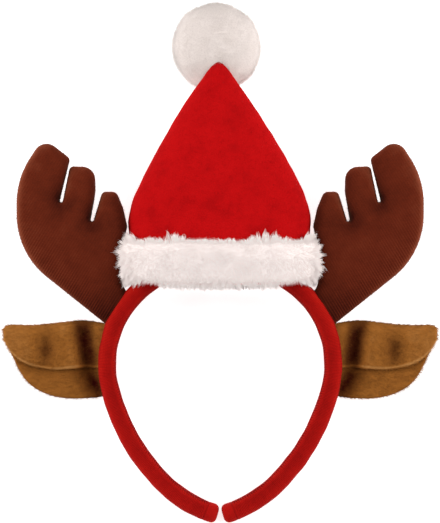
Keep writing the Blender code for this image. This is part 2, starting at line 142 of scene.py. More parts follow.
# Columns: distance from the inner side and height as shares of the antler's width and
# height, rounding as a share of its width.
ANTLER_CORNERS = (
    (0.156, -0.027, 0.020),
    (0.988, 0.391, 0.710),
    (0.988, 0.805, 0.740),
    (0.751, 1.034, 0.120),
    (0.512, 0.916, 0.045),
    (0.608, 0.673, 0.013),
    (0.581, 0.673, 0.013),
    (0.515, 0.874, 0.040),
    (0.293, 0.869, 0.115),
    (0.287, 0.729, 0.300),
    (0.333, 0.567, 0.011),
    (0.308, 0.567, 0.011),
    (0.228, 0.732, 0.045),
    (0.102, 0.732, 0.060),
    (0.042, 0.640, 0.250),
    (0.006, 0.539, 0.060),
    (0.053, 0.405, 0.120),
    (0.049, 0.215, 0.100),
    (-0.049, 0.104, 0.020),
)
# Rows of ANTLER_CORNERS at the bottoms of the two slits, counted from 0
SLIT_BOTTOMS = ((5, 6), (10, 11))
# Columns: height as a share of the antler's, depth as a share of ANTLER_DEPTH.
ANTLER_FULLNESS = ((0.00, 0.62), (0.30, 0.86), (0.55, 1.00), (1.00, 0.80))

# Ears
EAR_LENGTH = 0.0565
EAR_HEIGHT = 0.0427
EAR_FOOT = -0.01886
EAR_THICKNESS = 0.0026
EAR_FOLD = 0.0090
EAR_ROWS = 84
EAR_COLUMNS = 92
EAR_HAIRS = 15000
EAR_HAIR = 0.0021
# Columns: distance as a share of the ear's length, then the heights of the fold, of
# the front flap's free edge and of the back flap's as shares of the ear's height.
EAR_SECTIONS = (
    (0.000, 0.965, 0.386, 0.035),
    (0.116, 0.990, 0.386, 0.010),
    (0.232, 1.005, 0.386, 0.000),
    (0.376, 0.990, 0.380, 0.000),
    (0.520, 0.966, 0.375, 0.030),
    (0.655, 0.950, 0.400, 0.100),
    (0.760, 0.945, 0.440, 0.200),
    (0.850, 0.948, 0.508, 0.360),
    (0.925, 0.948, 0.610, 0.580),
    (0.973, 0.930, 0.730, 0.720),
    (1.000, 0.880, 0.790, 0.785),
)

# Camera: the point it looks at, its distance and the height of what it sees
VIEW_CENTRE = (-0.0001, 0.0564, 0.0)
VIEW_DISTANCE = 1.6
VIEW_HEIGHT = 0.2871


def turned(vectors):
    """Directions of the headband's own frame as they point where it lies."""
    x, y, z = np.asarray(vectors, float).T
    across = math.cos(SLOPE) * y - math.sin(SLOPE) * z
    up = math.sin(SLOPE) * y + math.cos(SLOPE) * z
    return np.stack([x, across, up], axis=1)


def on_ground(points):
    """Points of the headband's own frame where it lies on the ground."""
    placed = turned(points) + PLACE
    placed[:, 2] = np.maximum(placed[:, 2], FLOOR_GAP)
    return placed


def add_piece(name, points, faces, material, shade=None, normals=None):
    """A piece of the headband; shade darkens or lightens its material point by point, for seams and for
    painted shade and light.
    """
    faces = [list(dict.fromkeys(face)) for face in np.asarray(faces).tolist()]
    mesh = bpy.data.meshes.new(name)
    mesh.from_pydata(on_ground(points).tolist(), [], faces)
    mesh.materials.append(material)
    mesh.shade_smooth()
    if shade is None:
        shade = np.ones(len(points))
    attribute = mesh.attributes.new("shade", "FLOAT", "POINT")
    attribute.data.foreach_set("value", np.asarray(shade, np.float32))
    if normals is not None:
        mesh.normals_split_custom_set_from_vertices(turned(normals).tolist())
    piece = bpy.data.objects.new(name, mesh)
    bpy.context.scene.collection.objects.link(piece)
    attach(piece, "root")
    return piece


def smooth_columns(rows, positions):
    """The other columns of a table, read smoothly at positions in its first column."""
    table = np.array(rows, float)
    knots = table[:, 0]
    result = []
    for column in table[:, 1:].T:
        slopes = np.gradient(column, knots)
        index = np.clip(np.searchsorted(knots, positions, side="right") - 1, 0, len(knots) - 2)
        width = knots[index + 1] - knots[index]
        t = np.clip((positions - knots[index]) / width, 0, 1)
        start, end = column[index], column[index + 1]
        rise = (t * t * (3 - 2 * t)) * (end - start)
        bend = slopes[index] * width * t * (1 - t) ** 2 - slopes[index + 1] * width * t * t * (1 - t)
        result.append(start + rise + bend)
    return result


def tube_faces(rows, columns, start=0):
    """Quads between closed rings of points."""
    i, j = np.meshgrid(np.arange(rows - 1), np.arange(columns), indexing="ij")
    i, j = i.ravel(), j.ravel()
    k = (j + 1) % columns
    quads = np.stack([i * columns + j, i * columns + k, (i + 1) * columns + k, (i + 1) * columns + j], 1)
    return quads + start


def wander(points, size, chance):
    """Smooth random heights from -1 to 1 over space, with bumps of about a size."""
    total = np.zeros(len(points))
    for _ in range(6):
        direction = chance.normal(size=3)
        direction *= 2 * math.pi / size / np.linalg.norm(direction) * chance.uniform(0.6, 1.2)
        total += np.sin(points @ direction + chance.uniform(0, 2 * math.pi))
    return total / 3.5


def quad_normals(points, rows, columns):
    """Outward directions of a grid of closed rings."""
    grid = points.reshape(rows, columns, 3)
    round_ring = np.roll(grid, -1, axis=1) - np.roll(grid, 1, axis=1)
    along = np.gradient(grid, axis=0)
    normals = np.cross(round_ring, along).reshape(-1, 3)
    return normals / np.maximum(np.linalg.norm(normals, axis=1, keepdims=True), 1e-12)


def scatter(points, faces, count, chance):
    """Random places on a surface of triangles or quads, with its directions and faces there."""
    faces = np.asarray(faces)
    corners = points[faces if faces.shape[1] == 4 else faces[:, [0, 1, 2, 2]]]
    cross = np.cross(corners[:, 2] - corners[:, 0], corners[:, 3] - corners[:, 1])
    area = np.linalg.norm(cross, axis=1)
    pick = chance.choice(len(faces), count, p=area / area.sum())
    u, v = chance.random((2, count, 1))
    a, b, c, d = corners[pick].transpose(1, 0, 2)
    places = (1 - u) * (1 - v) * a + u * (1 - v) * b + u * v * c + (1 - u) * v * d
    return places, cross[pick] / area[pick, None], pick


def unit(vectors):
    """Vectors at length one."""
    return vectors / np.maximum(np.linalg.norm(vectors, axis=-1, keepdims=True), 1e-12)


def around(ahead, width):
    """Three points round each strand's root, as steps away from it."""
    helper = np.where(np.abs(ahead[:, 2:]) < 0.8, [[0.0, 0.0, 1.0]], [[1.0, 0.0, 0.0]])
    side = unit(np.cross(ahead, helper))
    other = np.cross(ahead, side)
    angles = 2 * math.pi / 3 * np.arange(3)[:, None, None]
    spread = np.cos(angles) * side + np.sin(angles) * other
    return spread * np.reshape(width, (-1, 1)) / 2


def strands(roots, middles, tips, width):
    """Points, triangles, painted root shade and sideways directions of bent three-sided strands."""
    count = len(roots)
    spread = around(unit(tips - roots), width)
    points = np.empty((count, 7, 3))
    sideways = np.zeros((count, 7, 3))
    for k in range(3):
        points[:, k] = roots + spread[k]
        points[:, 3 + k] = middles + 0.75 * spread[k]
        sideways[:, k] = sideways[:, 3 + k] = unit(spread[k])
    points[:, 6] = tips
    pattern = [(0, 2, 1), (3, 4, 6), (4, 5, 6), (5, 3, 6)]
    for k in range(3):
        j = (k + 1) % 3
        pattern += [(k, j, 3 + j), (k, 3 + j, 3 + k)]
    faces = (np.arange(count)[:, None, None] * 7 + np.array(pattern)).reshape(-1, 3)
    shade = np.tile([0.0, 0.0, 0.0, 0.55, 0.55, 0.55, 1.0], count)
    return points.reshape(-1, 3), faces, shade, sideways.reshape(-1, 3)


def nap(places, normals, combed, loose, length, width, chance, lit_from=(0, 0, 0)):
    """Short straight hairs on a surface, lit like it: points, triangles, painted root shade, directions.
    """
    count = len(places)
    ahead = unit(normals + combed + loose * chance.normal(size=(count, 3)))
    reach = np.reshape(length, (-1, 1)) * chance.uniform(0.5, 1.0, (count, 1))
    points = np.empty((count, 4, 3))
    points[:, :3] = places[:, None] + around(ahead, np.full(count, width)).transpose(1, 0, 2)
    points[:, 3] = places + reach * ahead
    pattern = np.array([(0, 2, 1), (0, 1, 3), (1, 2, 3), (2, 0, 3)])
    faces = (np.arange(count)[:, None, None] * 4 + pattern).reshape(-1, 3)
    lit = np.repeat(unit(normals + np.array(lit_from)), 4, axis=0)
    return points.reshape(-1, 3), faces, np.tile([0.0, 0.0, 0.0, 1.0], count), lit


def joined(first, second):
    """Two lots of hair as one."""
    faces = np.vstack([first[1], second[1] + len(first[0])])
    return (np.vstack([first[0], second[0]]), faces, np.append(first[2], second[2]),
            np.vstack([first[3], second[3]]))


def add_hairs(name, hairs, material, tone=1.0):
    """A piece of hairs, each point's shade multiplied by a tone."""
    points, faces, shade, lit = hairs
    return add_piece(name, points, faces, material, shade * tone, lit)


def fur(places, normals, per_tuft, radius, length, width, lean, chance, loose=0.2, pointed=0.35,
        lit_from=(0, 0, 0)):
    """Tufts of strands on a surface; lean is added to its directions there.

    The strands are lit like the surface they stand on, turned a little to lit_from.
    """
    count = len(places)
    ahead = unit(normals + lean + loose * chance.normal(size=(count, 3)))
    reach = np.reshape(length, (-1, 1)) * chance.uniform(0.75, 1.15, (count, 1))
    lit_from = np.broadcast_to(lit_from, (count, 3))
    places, normals, ahead, reach, lit_from = (
        np.repeat(values, per_tuft, axis=0) for values in (places, normals, ahead, reach, lit_from)
    )
    total = count * per_tuft
    offset = chance.normal(size=(total, 3)) * radius / 1.7
    offset -= (offset * normals).sum(1, keepdims=True) * normals
    own = reach * chance.uniform(0.70, 1.05, (total, 1))
    roots = places + offset - 0.0004 * normals
    tips = places + ahead * own + pointed * offset + 0.05 * own * chance.normal(size=(total, 3))
    middles = 0.5 * (roots + tips) + 0.14 * own * normals + 0.25 * offset
    made = strands(roots, middles, tips, width * chance.uniform(0.7, 1.2, total))
    outward = np.repeat(unit(normals + 0.1 * ahead + lit_from), 7, axis=0)
    return made[0], made[1], made[2], unit(outward + 0.16 * made[3])


def fabric(name, dark, colour, light, roughness=0.95, sheen=0.0, sheen_colour=(1, 1, 1), grain=0.0,
           grain_size=0.0012, mottle=0.0, mottle_size=0.010, through=0.0):
    """A cloth: its points' shade runs from dark at 0 by its colour at 1 to light at 2; painted shade and
    seams lie below 1, painted light above.
    """
    material = bpy.data.materials.new(name)
    material.use_nodes = True
    tree = material.node_tree
    shader = tree.nodes["Principled BSDF"]
    shader.inputs["Roughness"].default_value = roughness
    shader.inputs["Specular IOR Level"].default_value = 0.05
    shader.inputs["Sheen Weight"].default_value = sheen
    shader.inputs["Sheen Roughness"].default_value = 0.5
    shader.inputs["Sheen Tint"].default_value = (*sheen_colour, 1.0)
    place = tree.nodes.new("ShaderNodeTexCoord")

    coarse = tree.nodes.new("ShaderNodeTexNoise")
    coarse.inputs["Scale"].default_value = 1 / mottle_size
    coarse.inputs["Detail"].default_value = 5.0
    coarse.inputs["Roughness"].default_value = 0.65
    tree.links.new(place.outputs["Object"], coarse.inputs["Vector"])
    spread = tree.nodes.new("ShaderNodeMapRange")
    spread.inputs["From Min"].default_value = 0.3
    spread.inputs["From Max"].default_value = 0.7
    spread.inputs["To Min"].default_value = -mottle / 2
    spread.inputs["To Max"].default_value = mottle / 2
    tree.links.new(coarse.outputs["Fac"], spread.inputs["Value"])

    shade = tree.nodes.new("ShaderNodeAttribute")
    shade.attribute_name = "shade"
    total = tree.nodes.new("ShaderNodeMath")
    total.operation = "MULTIPLY_ADD"
    total.inputs[1].default_value = 0.5
    tree.links.new(shade.outputs["Fac"], total.inputs[0])
    tree.links.new(spread.outputs["Result"], total.inputs[2])
    ramp = tree.nodes.new("ShaderNodeValToRGB")
    steps = ramp.color_ramp.elements
    steps.new(0.5)
    for step, tone in zip(steps, (dark, colour, light)):
        step.color = (*tone, 1.0)
    tree.links.new(total.outputs["Value"], ramp.inputs["Fac"])
    tree.links.new(ramp.outputs["Color"], shader.inputs["Base Color"])
    # The cloth glows with its own colour: painted light standing in for light that passes through hair.
    if through:
        tree.links.new(ramp.outputs["Color"], shader.inputs["Emission Color"])
        shader.inputs["Emission Strength"].default_value = through

    if grain:
        fine = tree.nodes.new("ShaderNodeTexNoise")
        fine.inputs["Scale"].default_value = 1 / grain_size
        fine.inputs["Detail"].default_value = 3.0
        tree.links.new(place.outputs["Object"], fine.inputs["Vector"])
        bump = tree.nodes.new("ShaderNodeBump")
        bump.inputs["Strength"].default_value = 1.0
        bump.inputs["Distance"].default_value = grain
        tree.links.new(fine.outputs["Fac"], bump.inputs["Height"])
        tree.links.new(bump.outputs["Normal"], shader.inputs["Normal"])
    return material


def band_line(distance):
    """Middle of the band and its outward direction, a distance from its top to the right."""
    half_span = BAND_SPAN / 2
    (first, turn_one), (second, _) = BAND_ARCS[:2]
    turn_one = math.radians(turn_one)
    x, y = 0.0, half_span * (first * (1 - math.cos(turn_one)) + second * math.cos(turn_one))
    heading = 0.0
    left = abs(distance)
    for share, degrees in BAND_ARCS:
        radius = share * half_span
        turn = min(math.radians(degrees), left / radius)
        x += radius * (math.sin(heading + turn) - math.sin(heading))
        y += radius * (math.cos(heading + turn) - math.cos(heading))
        heading += turn
        left -= turn * radius
    side = 1 if distance >= 0 else -1
    return side * x, y, side * math.sin(heading), math.cos(heading)


def band_surface(distance, angle, raised, inset=0.0):
    """Points of the band's cover, at signed distances from its top and section angles."""
    lines = np.array([band_line(d) for d in distance])
    power = 2 / BAND_SQUARENESS
    across = np.sign(np.cos(angle)) * np.abs(np.cos(angle)) ** power
    forward = np.sign(np.sin(angle)) * np.abs(np.sin(angle)) ** power
    slimmer = BAND_SLIMMER * np.exp(-(((np.abs(distance) - BAND_AT_EARS) / 0.022) ** 2))
    out = (BAND_THICKNESS / 2 - inset + raised - slimmer * (across > 0)) * across
    ahead = (BAND_DEPTH / 2 - inset + raised) * forward
    return np.stack([lines[:, 0] + out * lines[:, 2], lines[:, 1] + out * lines[:, 3], ahead], 1)


def band_heights(distance):
    """How high the band's middle is, at signed distances from its top."""
    return np.array([band_line(d)[1] for d in distance])


def build_band(cover, thread, chance):
    """The padded hoop: ribbed cover, plain turned-in tips and a sewn seam inside."""
    length = sum(share * math.radians(turn) for share, turn in BAND_ARCS) * BAND_SPAN / 2
    run = np.arange(0, length - BAND_END, RIB_SPACING / 4)
    curve = np.radians(np.arange(0, 89, 11))
    ends = length - BAND_END + BAND_END * np.sin(curve)
    end_inset = BAND_END * (1 - np.cos(curve))
    half = np.concatenate([run, ends])
    inset = np.concatenate([np.zeros(len(run)), end_inset])
    distance = np.concatenate([-half[:0:-1], half])
    inset = np.concatenate([inset[:0:-1], inset])
    angle = np.arange(BAND_SIDES) * 2 * math.pi / BAND_SIDES
    rows = len(distance)
    distance, angle = np.repeat(distance, BAND_SIDES), np.tile(angle, rows)
    inset = np.repeat(inset, BAND_SIDES)
    ribbed = np.clip((length - RIB_END - np.abs(distance)) / 0.002, 0, 1)
    rib = np.cos(2 * math.pi * distance / RIB_SPACING)
    seam = np.exp(-(((angle - math.radians(160)) / 0.16) ** 2))
    fold = np.exp(-(((np.abs(distance) - length + RIB_END) / 0.0004) ** 2))
    flat = band_surface(distance, angle, 0.0)
    loose = wander(flat, 0.012, chance)
    raised = ribbed * RIB_HEIGHT * rib + 0.00016 * loose - 0.0003 * seam * ribbed - 0.00018 * fold
    points = band_surface(distance, angle, raised, inset)
    # Painted light and shade on the cover: shade in the rib grooves, a highlight on the outer side and
    # another on the inner side, shade down the front, a shadow along the outer edge and the upper part a
    # little lighter, all painted. The seam's darker line is a dark joint.
    outer = np.exp(-(((angle - math.radians(52)) / 0.38) ** 2))
    edge = np.exp(-((np.sin(angle / 2) / 0.28) ** 2))
    front = np.exp(-(((angle - math.radians(100)) / 0.26) ** 2))
    inner = np.exp(-(((angle - math.radians(138)) / 0.25) ** 2))
    upper = np.clip(0.4 + band_heights(distance) / 0.06, 0, 1)
    shade = 1.06 + 0.07 * upper - 0.50 * (0.5 - 0.5 * rib) - 0.45 * seam - 0.20 * front
    shade += 0.26 * outer * (0.5 + 0.5 * upper) - edge * (0.30 + 0.25 * upper)
    shade += inner * (0.26 - 0.10 * upper)
    # The plain tips take none of it, and the fold at each tip gets painted shade.
    shade = 0.9 + ribbed * (shade - 0.9) - 0.35 * fold
    cap_centres = np.array([points[:BAND_SIDES].mean(0), points[-BAND_SIDES:].mean(0)])
    ring = np.arange(BAND_SIDES)
    after = np.roll(ring, -1)
    last = (rows - 1) * BAND_SIDES
    total = len(points)
    start_cap = np.stack([np.full(BAND_SIDES, total), after, ring, ring], 1)
    end_cap = np.stack([np.full(BAND_SIDES, total + 1), last + ring, last + after, last + after], 1)
    faces = np.vstack([tube_faces(rows, BAND_SIDES), start_cap, end_cap])
    points = np.vstack([points, cap_centres])
    band = add_piece("band_cover", points, faces, cover, np.append(shade, [1, 1]))
    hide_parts("headband")

    sewn = length - RIB_END - 0.001
    share = np.linspace(0, 1, 6)
    arc = np.radians(128 + 44 * share)
    bow = 0.00022 * np.sin(math.pi * share)
    stitches = [
        band_surface(start + STITCH_LENGTH * share, arc, bow)
        for start in np.arange(-sewn, sewn, STITCH_SPACING)
    ]
    add_threads("band_stitches", np.array(stitches), STITCH_RADIUS, thread)


def add_threads(name, lines, radius, material, sides=5):
    """Round threads along lines of equal point counts, joined into one piece."""
    count, steps, _ = lines.shape
    ahead = unit(np.gradient(lines, axis=1))
    helper = np.where(np.abs(ahead[..., 2:]) < 0.8, [0.0, 0.0, 1.0], [1.0, 0.0, 0.0])
    side = unit(np.cross(ahead, helper))
    other = np.cross(ahead, side)
    angle = (np.arange(sides) * 2 * math.pi / sides)[:, None]
    taper = radius * np.sin(np.linspace(0.25, math.pi - 0.25, steps)) ** 0.4
    ring = np.cos(angle) * side[:, :, None] + np.sin(angle) * other[:, :, None]
    points = lines[:, :, None] + taper[:, None, None] * ring
    faces = np.concatenate([tube_faces(steps, sides, k * steps * sides) for k in range(count)])
    return add_piece(name, points.reshape(-1, 3), faces, material)


def oval_angles(count):
    """Angles that space points evenly round the hat's oval."""
    angle = np.linspace(0, 2 * math.pi, 1441)
    steps = np.hypot(np.diff(HAT_WIDTH * np.cos(angle)), np.diff(HAT_DEPTH * np.sin(angle)))
    run = np.concatenate(([0], np.cumsum(steps)))
    return np.interp(np.arange(count) * run[-1] / count, run, angle)


def hat_surface(share, angle, grow):
    """Points of the hat at shares of its height and angles round it."""
    width, depth = smooth_columns(HAT_SECTIONS, share)
    x = HAT_SIDE_LEAN * share**2 + (width * HAT_WIDTH / 2 + grow) * np.cos(angle)
    z = HAT_TIP_FORWARD * share**2 + (depth * HAT_DEPTH / 2 + grow) * np.sin(angle)
    return np.stack([x, HAT_HEM + share * HAT_HEIGHT, z], 1)


def build_hat(felt, fuzz, chance):
    """The stuffed felt hat with its two side seams and short nap."""
    level = np.linspace(0, 1, HAT_LEVELS) ** 0.9
    share = np.repeat(level, HAT_SIDES)
    angle = np.tile(oval_angles(HAT_SIDES), HAT_LEVELS)
    smooth = hat_surface(share, angle, 0.0)
    seam = np.exp(-((np.sin(angle) * HAT_DEPTH / 2 / 0.0009) ** 2)) * (share < 0.97)
    dents = 0.0005 * wander(smooth, 0.045, chance) + 0.00012 * wander(smooth, 0.007, chance)
    points = hat_surface(share, angle, dents * np.clip((1 - share) * 12, 0, 1) - 0.0005 * seam)
    # Dark joints along the side seams, and painted shade at the tip where it meets the pompom.
    shade = 1 - 0.55 * seam - 0.5 * np.clip((share - 0.985) / 0.01, 0, 1)
    faces = tube_faces(HAT_LEVELS, HAT_SIDES)[:, ::-1]
    hem_centre = len(points)
    points = np.vstack([points, [[0, HAT_HEM, 0]], points[-HAT_SIDES:].mean(0, keepdims=True)])
    shade = np.append(shade, [1, 1])
    ring = np.arange(HAT_SIDES)
    after = np.roll(ring, -1)
    top = (HAT_LEVELS - 1) * HAT_SIDES
    ends = [[hem_centre, a, b, b] for a, b in zip(ring, after)]
    ends += [[hem_centre + 1, top + a, top + b, top + b] for a, b in zip(after, ring)]
    hat = add_piece("hat_felt", points, np.vstack([faces, ends]), felt, shade)
    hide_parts("hat")

    places, normals, _ = scatter(points, faces, HAT_HAIRS, chance)
    hairs = nap(places, normals, 0, loose=0.9, length=HAT_HAIR, width=0.00010, chance=chance)
    add_hairs("hat_nap", hairs, fuzz)


def build_trim(backing_fur, white_fur, chance):
    """The fur roll round the hem: a padded backing, short hairs and tufts at its edges."""
    turn = np.repeat(np.linspace(0, 1, TRIM_COLUMNS), TRIM_SIDES)
    angle = np.tile(oval_angles(TRIM_SIDES), TRIM_COLUMNS)
    up = -np.cos(math.pi * turn) * TRIM_HEIGHT / 2 * 0.94
    out = TRIM_BACKING * np.sin(math.pi * turn) ** 0.5
    level = (up + TRIM_HEIGHT / 2) / HAT_HEIGHT
    points = hat_surface(level, angle, out)
    below = 1 - (points[:, 1] - HAT_HEM) / TRIM_HEIGHT
    points[:, 1] += TRIM_ENDS_RISE * below * np.abs(points[:, 0] / (HAT_WIDTH / 2)) ** 3
    uneven = 0.0004 * wander(points, 0.012, chance)[:, None]
    points += uneven * quad_normals(points, TRIM_COLUMNS, TRIM_SIDES)
    faces = tube_faces(TRIM_COLUMNS, TRIM_SIDES)[:, ::-1]
    inner = np.arange(TRIM_SIDES)
    last = (TRIM_COLUMNS - 1) * TRIM_SIDES
    next_inner = np.roll(inner, -1)
    close = np.stack([inner, next_inner, last + next_inner, last + inner], 1)
    trim = add_piece("fur_backing", points, np.vstack([faces, close]), backing_fur)
    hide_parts("fur_trim")

    for name, side in (("fur_front", 1), ("fur_back", -1)):
        chosen = faces[(points[faces].mean(1)[:, 2] * side) > 0]
        places, normals, _ = scatter(points, chosen, TRIM_HAIRS, chance)
        short = nap(places, normals, trim_flow(places, chance), loose=0.35, length=TRIM_SHORT,
                    width=0.00017, chance=chance, lit_from=flatter(normals, side))

        places, normals, _ = scatter(points, chosen, 5 * TRIM_TUFTS, chance)
        to_edge = np.maximum(np.abs(normals[:, 0]) ** 2, np.abs(normals[:, 1]) ** 1.5)
        kept = np.flatnonzero(to_edge > chance.uniform(0.3, 1.1, len(places)))[:TRIM_TUFTS]
        places, normals, to_edge = places[kept], normals[kept], to_edge[kept]
        height = (places[:, 1] - HAT_HEM) / TRIM_HEIGHT
        ends = np.clip(np.abs(places[:, 0]) / (HAT_WIDTH / 2) - 0.9, 0, 0.2) / 0.2
        length = TRIM_SHORT + (TRIM_LONG - TRIM_SHORT) * to_edge
        clumps = np.clip(0.52 + 0.6 * wander(places, 0.013, chance), 0.25, 1.05)
        clumps *= 1 - 0.55 * np.exp(-((places[:, 0] - EVEN_EDGE_X) / EVEN_EDGE_WIDTH) ** 2)
        length *= np.where((ends == 0) & (height > 0.8), clumps, 1)
        length *= np.where(height < 0.15, 0.64 + 0.75 * ends, 1) * (1 - 0.15 * ends)
        made = fur(places, normals, STRANDS_PER_TUFT, radius=0.0012, length=length, width=0.00024,
                   lean=trim_flow(places, chance), chance=chance, lit_from=flatter(normals, side))
        clear = clear_of_band(made[0], chance)
        made = (made[0], made[1][clear], made[2], made[3])
        hairs = joined(short, made)
        # Painted shade: hairs darker towards both ends, which the side lamps light more strongly.
        end_shade = np.clip(2 * np.abs(hairs[0][:, 0]) / (HAT_WIDTH / 2) - 1, 0, 1)
        add_hairs(name, hairs, white_fur, 1 - 0.7 * end_shade)


def flatter(normals, side):
    """What turns directions to the front or the back, so that thick fur is lit evenly."""
    return normals * [-0.4, -0.4, 0.0] + [0.0, 0.0, 1.4 * side]


def trim_flow(places, chance):
    """Which way the fur is combed: up at the top, down below and outward at both ends."""
    flow = 0.35 * np.stack([wander(places, 0.014, chance) for _ in range(3)], 1)
    flow[:, 1] += 1.3 * np.tanh(3.0 * ((places[:, 1] - HAT_HEM) / TRIM_HEIGHT - 0.75)) - 0.2
    flow[:, 0] += 1.2 * np.sign(places[:, 0]) * np.abs(places[:, 0] / (HAT_WIDTH / 2)) ** 5
    return flow


def clear_of_band(points, chance):
    """Which strands, by their triangles, leave the band's front open below the trim."""
    tips = points.reshape(-1, 7, 3)[:, 6]
    ragged = 0.0012 * chance.normal(size=(2, len(tips)))
    beside = np.abs(np.abs(tips[:, 0]) - BAND_GAP_X) > BAND_GAP_WIDTH / 2 + ragged[0]
    above = tips[:, 1] > BAND_GAP_Y + ragged[1]
    return np.repeat(beside | above, 10)


def build_pompom(core_plush, plush, chance):
    """The round pompom: a soft core and short strands standing out of it."""
    body = bmesh.new()
    bmesh.ops.create_icosphere(body, subdivisions=5, radius=1.0)
    directions = np.array([vert.co for vert in body.verts])
    faces = np.array([[vert.index for vert in face.verts] for face in body.faces])
    body.free()
    uneven = 0.00035 * wander(directions * 0.02, 0.010, chance)
    centre = np.array(POMPOM_CENTRE)
    pressed = unit(np.array([0.0010, -0.0110, 0.0190]))
    uneven -= 0.0016 * np.exp(-((1 - directions @ pressed) / 0.035))
    points = centre + directions * (POMPOM_CORE + uneven)[:, None]
    lit = unit(directions * [1.0, 1.0, 2.6])
    core = add_piece("pompom_core", points, faces, core_plush, normals=lit)
    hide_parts("pompom")
    places, normals, _ = scatter(points, faces, POMPOM_HAIRS, chance)
    combed = 0.3 * np.stack([wander(places, 0.02, chance) for _ in range(3)], 1)
    toward_viewer = np.outer(normals[:, 2], [0, 0, 1.6])
    hairs = nap(places, normals, combed, loose=0.35, length=POMPOM_HAIR, width=0.00015,
                chance=chance, lit_from=toward_viewer)
    add_hairs("pompom_plush", hairs, plush)


def rounded_outline(corners, step):
    """A closed outline through (x, y, radius) corners, with points about a step apart."""
    points = []
    count = len(corners)
    for i, (x, y, radius) in enumerate(corners):
        corner = Vector((x, y))
        before = (Vector(corners[i - 1][:2]) - corner).normalized()
        after = (Vector(corners[(i + 1) % count][:2]) - corner).normalized()
        half_angle = before.angle(after) / 2
        reach = radius / math.tan(half_angle)
        centre = corner + (before + after).normalized() * radius / math.sin(half_angle)
        start = corner + before * reach - centre
        end = corner + after * reach - centre
        turn = start.angle_signed(end)
        pieces = max(3, math.ceil(abs(turn) * radius / step))
        first = math.atan2(start.y, start.x)
        for k in range(pieces + 1):
            angle = first - turn * k / pieces
            points.append(centre + radius * Vector((math.cos(angle), math.sin(angle))))
    result = []
    for start, end in zip(points, points[1:] + points[:1]):
        pieces = max(1, round((end - start).length / step))
        result += [start.lerp(end, k / pieces) for k in range(pieces)]
    return np.array([tuple(point) for point in result])


def outline_distances(points, outline):
    """Distance of each point from a closed outline, and whether it lies inside."""
    start = outline
    along = np.roll(start, -1, axis=0) - start
    distances = []
    insides = []
    for part in np.array_split(points, max(1, len(points) // 1500)):
        point = part[:, None, :]
        share = ((point - start) * along).sum(2) / (along**2).sum(1)
        nearest = start + np.clip(share, 0, 1)[..., None] * along
        distances.append(np.sqrt(((point - nearest) ** 2).sum(2)).min(1))
        crosses = (start[:, 1] > point[..., 1]) != (start[:, 1] + along[:, 1] > point[..., 1])
        rise = np.where(along[:, 1] == 0, 1.0, along[:, 1])
        side = start[:, 0] + (point[..., 1] - start[:, 1]) / rise * along[:, 0]
        insides.append((crosses & (point[..., 0] < side)).sum(1) % 2 == 1)
    return np.concatenate(distances), np.concatenate(insides)


def panel_mesh(outline, spacing, direction):
    """Triangles inside an outline: rows beside its seam and a grid along the knit's ribs."""
    ahead = np.roll(outline, -1, axis=0) - np.roll(outline, 1, axis=0)
    inward = unit(np.stack([-ahead[:, 1], ahead[:, 0]], 1))
    kept = []
    for inset in (0.00018, 0.0005, 0.0010):
        for sign in (1, -1):
            row = outline + sign * inset * inward
            distance, inside = outline_distances(row, outline)
            kept.append(row[inside & (distance > 0.95 * inset)])
    rib = np.array([math.cos(direction), math.sin(direction)])
    across = np.array([rib[1], -rib[0]])
    low, high = outline.min(0), outline.max(0)
    size = np.linalg.norm(high - low)
    centre = (low + high) / 2
    origin = np.floor(centre @ across / spacing) * spacing
    columns = np.arange(-size / 2, size / 2, spacing / 4)
    columns = origin + np.round(columns / (spacing / 4)) * spacing / 4
    run = np.arange(-size / 2, size / 2, 0.0011)
    q, r = np.meshgrid(columns, run + centre @ rib, indexing="ij")
    r = r + 0.00055 * (np.arange(len(columns)) % 2)[:, None]
    grid = q.reshape(-1, 1) * across + r.reshape(-1, 1) * rib
    distance, inside = outline_distances(grid, outline)
    kept.append(grid[inside & (distance > 0.0014)])
    points = [Vector(p) for p in np.vstack([outline] + kept).tolist()]
    border = list(range(len(outline)))
    points, _, faces, *_ = delaunay_2d_cdt(points, [], [border], 1, 1e-7)
    return np.array([tuple(p) for p in points]), np.array([list(f) for f in faces])


def puffed(points, faces, free):
    """Solves how a sheet held at its seam bulges under even pressure."""
    a, b, c = (points[faces[:, k]] for k in range(3))
    area = np.abs(np.cross(b - a, c - a)) / 2
    rows, columns, weights = [], [], []
    for i, j, opposite in ((0, 1, 2), (1, 2, 0), (2, 0, 1)):
        u = points[faces[:, i]] - points[faces[:, opposite]]
        v = points[faces[:, j]] - points[faces[:, opposite]]
        cot = (u * v).sum(1) / np.maximum(2 * area, 1e-14) / 2
        rows += [faces[:, i], faces[:, j]]
        columns += [faces[:, j], faces[:, i]]
        weights += [cot, cot]
    rows, columns, weights = (np.concatenate(x) for x in (rows, columns, weights))
    count = len(points)
    diagonal = np.bincount(rows, weights, count)
    load = sum(np.bincount(faces[:, k], area / 3, count) for k in range(3)) * free

    def apply(x):
        return (diagonal * x - np.bincount(rows, weights * x[columns], count)) * free

    scale = free / np.maximum(diagonal, 1e-12)
    x = np.zeros(count)
    rest = load.copy()
    search = scale * rest
    value = rest @ search
    for _ in range(900):
        pushed = apply(search)
        step = value / (search @ pushed)
        x += step * search
        rest -= step * pushed
        ready = scale * rest
        new_value = rest @ ready
        if new_value < 1e-16 * (load @ (scale * load)):
            break
        search = ready + new_value / value * search
        value = new_value
    return np.maximum(x, 0)


def lean_of_sheet(points, faces):
    """Sideways and upward lean of a sheet at each of its points, from 0 flat to 1 upright."""
    a, b, c = (points[faces[:, k]] for k in range(3))
    cross = np.cross(b - a, c - a)
    total = np.zeros_like(points)
    for k in range(3):
        np.add.at(total, faces[:, k], cross)
    return unit(total)[:, :2] * np.sign(total[:, 2:])


